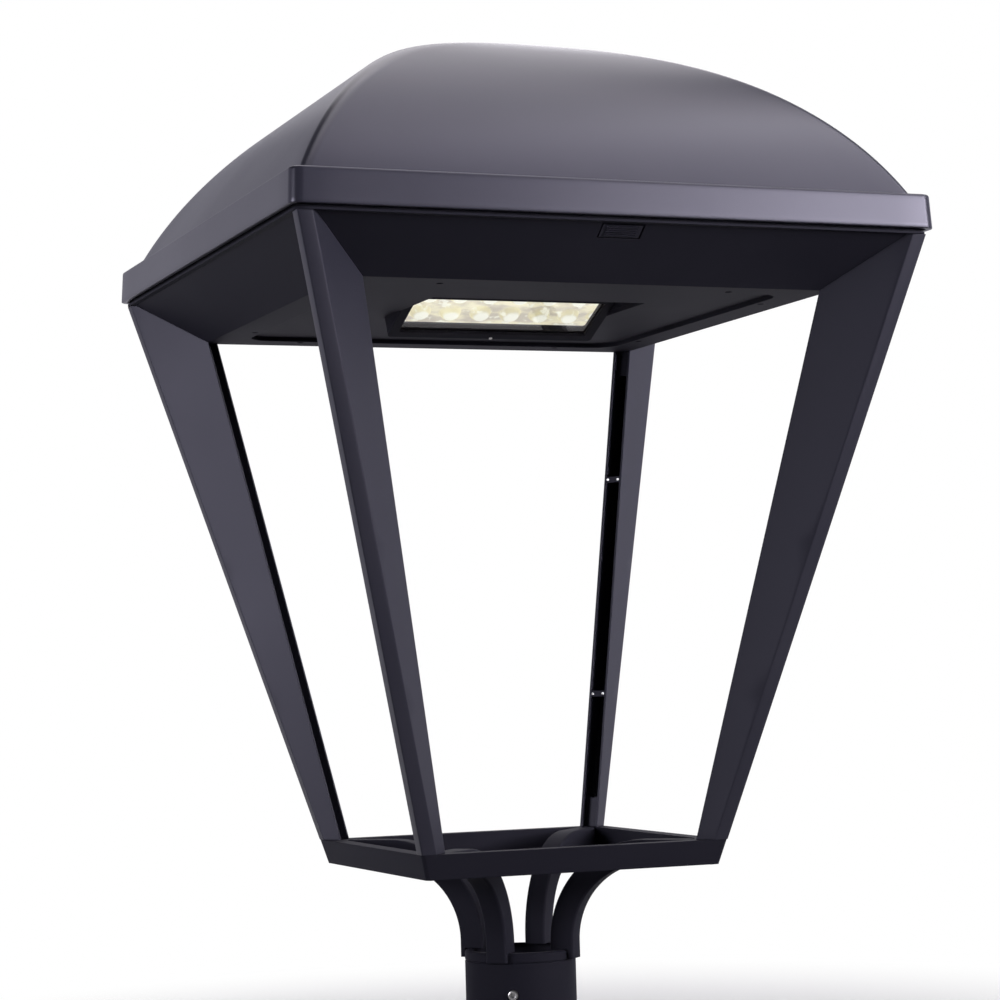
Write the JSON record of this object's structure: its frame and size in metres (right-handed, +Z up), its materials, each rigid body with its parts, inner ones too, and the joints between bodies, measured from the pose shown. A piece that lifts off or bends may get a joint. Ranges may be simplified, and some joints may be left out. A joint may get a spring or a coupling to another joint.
{
  "type": "post top lantern",
  "caption": "Square post top lantern: a domed roof hinged over a pan with a tilted downward light window, tapered corner legs, a square bottom frame and curved arms on a post collar.",
  "frame": {"origin": "middle of the collar's lower end, on the post's axis", "axes": "+Z up along the post, -Y to the front with the latch, hinges at +Y"},
  "size_m": [0.5, 0.512, 0.8003],
  "materials": {
    "anthracite_coat": "fine textured powder coat, satin, anthracite",
    "stainless_steel": "plain stainless fastener finish",
    "seal_rubber": "matt foam rubber",
    "bare_aluminium": "bare extruded and cast aluminium",
    "window_glass": "clear flat toughened glass",
    "lens_plastic": "clear moulded lenses",
    "light_chip": "warm white light emitting chips",
    "white_board": "white solder resist",
    "galvanised_sheet": "zinc coated sheet",
    "driver_case": "pale moulded case",
    "terminal_plastic": "pale grey moulded nylon",
    "button_plastic": "black moulded nylon"
  },
  "bodies": {
    "lantern": {"arm_back_left": "anthracite_coat", "arm_back_right": "anthracite_coat", "arm_front_left": "anthracite_coat", "arm_front_right": "anthracite_coat", "bezel_screws": "stainless_steel", "bottom_frame": "anthracite_coat", "bottom_panel": "anthracite_coat", "cable_clamp": "terminal_plastic", "canopy_gasket": "seal_rubber", "channel_clips": "stainless_steel", "circuit_board": "white_board", "clamp_screws": "stainless_steel", "collar_set_screws": "stainless_steel", "driver_screws": "stainless_steel", "gear_tray": "galvanised_sheet", "glass_seal": "seal_rubber", "heat_sink": "bare_aluminium", "hinge_brackets": "anthracite_coat", "hinge_pins": "stainless_steel", "latch_bracket": "galvanised_sheet", "latch_spring": "stainless_steel", "led_driver": "driver_case", "leg_back_left": "anthracite_coat", "leg_back_right": "anthracite_coat", "leg_foot_bolts": "stainless_steel", "leg_front_left": "anthracite_coat", "leg_front_right": "anthracite_coat", "leg_head_bolts": "stainless_steel", "lens_array": "lens_plastic", "light_bezel": "anthracite_coat", "light_chips": "light_chip", "light_housing": "bare_aluminium", "light_shroud": "anthracite_coat", "lower_housing": "anthracite_coat", "panel_screws": "stainless_steel", "post_collar": "anthracite_coat", "surge_protector": "driver_case", "terminal_block": "terminal_plastic", "terminal_screws": "stainless_steel", "tray_screws": "stainless_steel", "window_glass": "window_glass"},
    "canopy": {"roof_canopy": "anthracite_coat", "canopy_hinge_leaves": "anthracite_coat", "hinge_screws": "stainless_steel", "latch_keeper": "galvanised_sheet"},
    "latch_button": {"latch_button": "button_plastic"}
  },
  "joints": [
    {"name": "canopy_hinge", "type": "hinge", "parent": "lantern", "child": "canopy", "pos_m": [0, 0.257, 0.626], "axis": [-1, 0, 0], "range_deg": [0, 75]},
    {"name": "button_slide", "type": "slide", "parent": "lantern", "child": "latch_button", "axis": [0, 1, 0], "range_m": [0, 0.004], "stiffness_N_per_m": 1200, "springref_m": -0.002, "deforming": ["latch_spring"]}
  ]
}
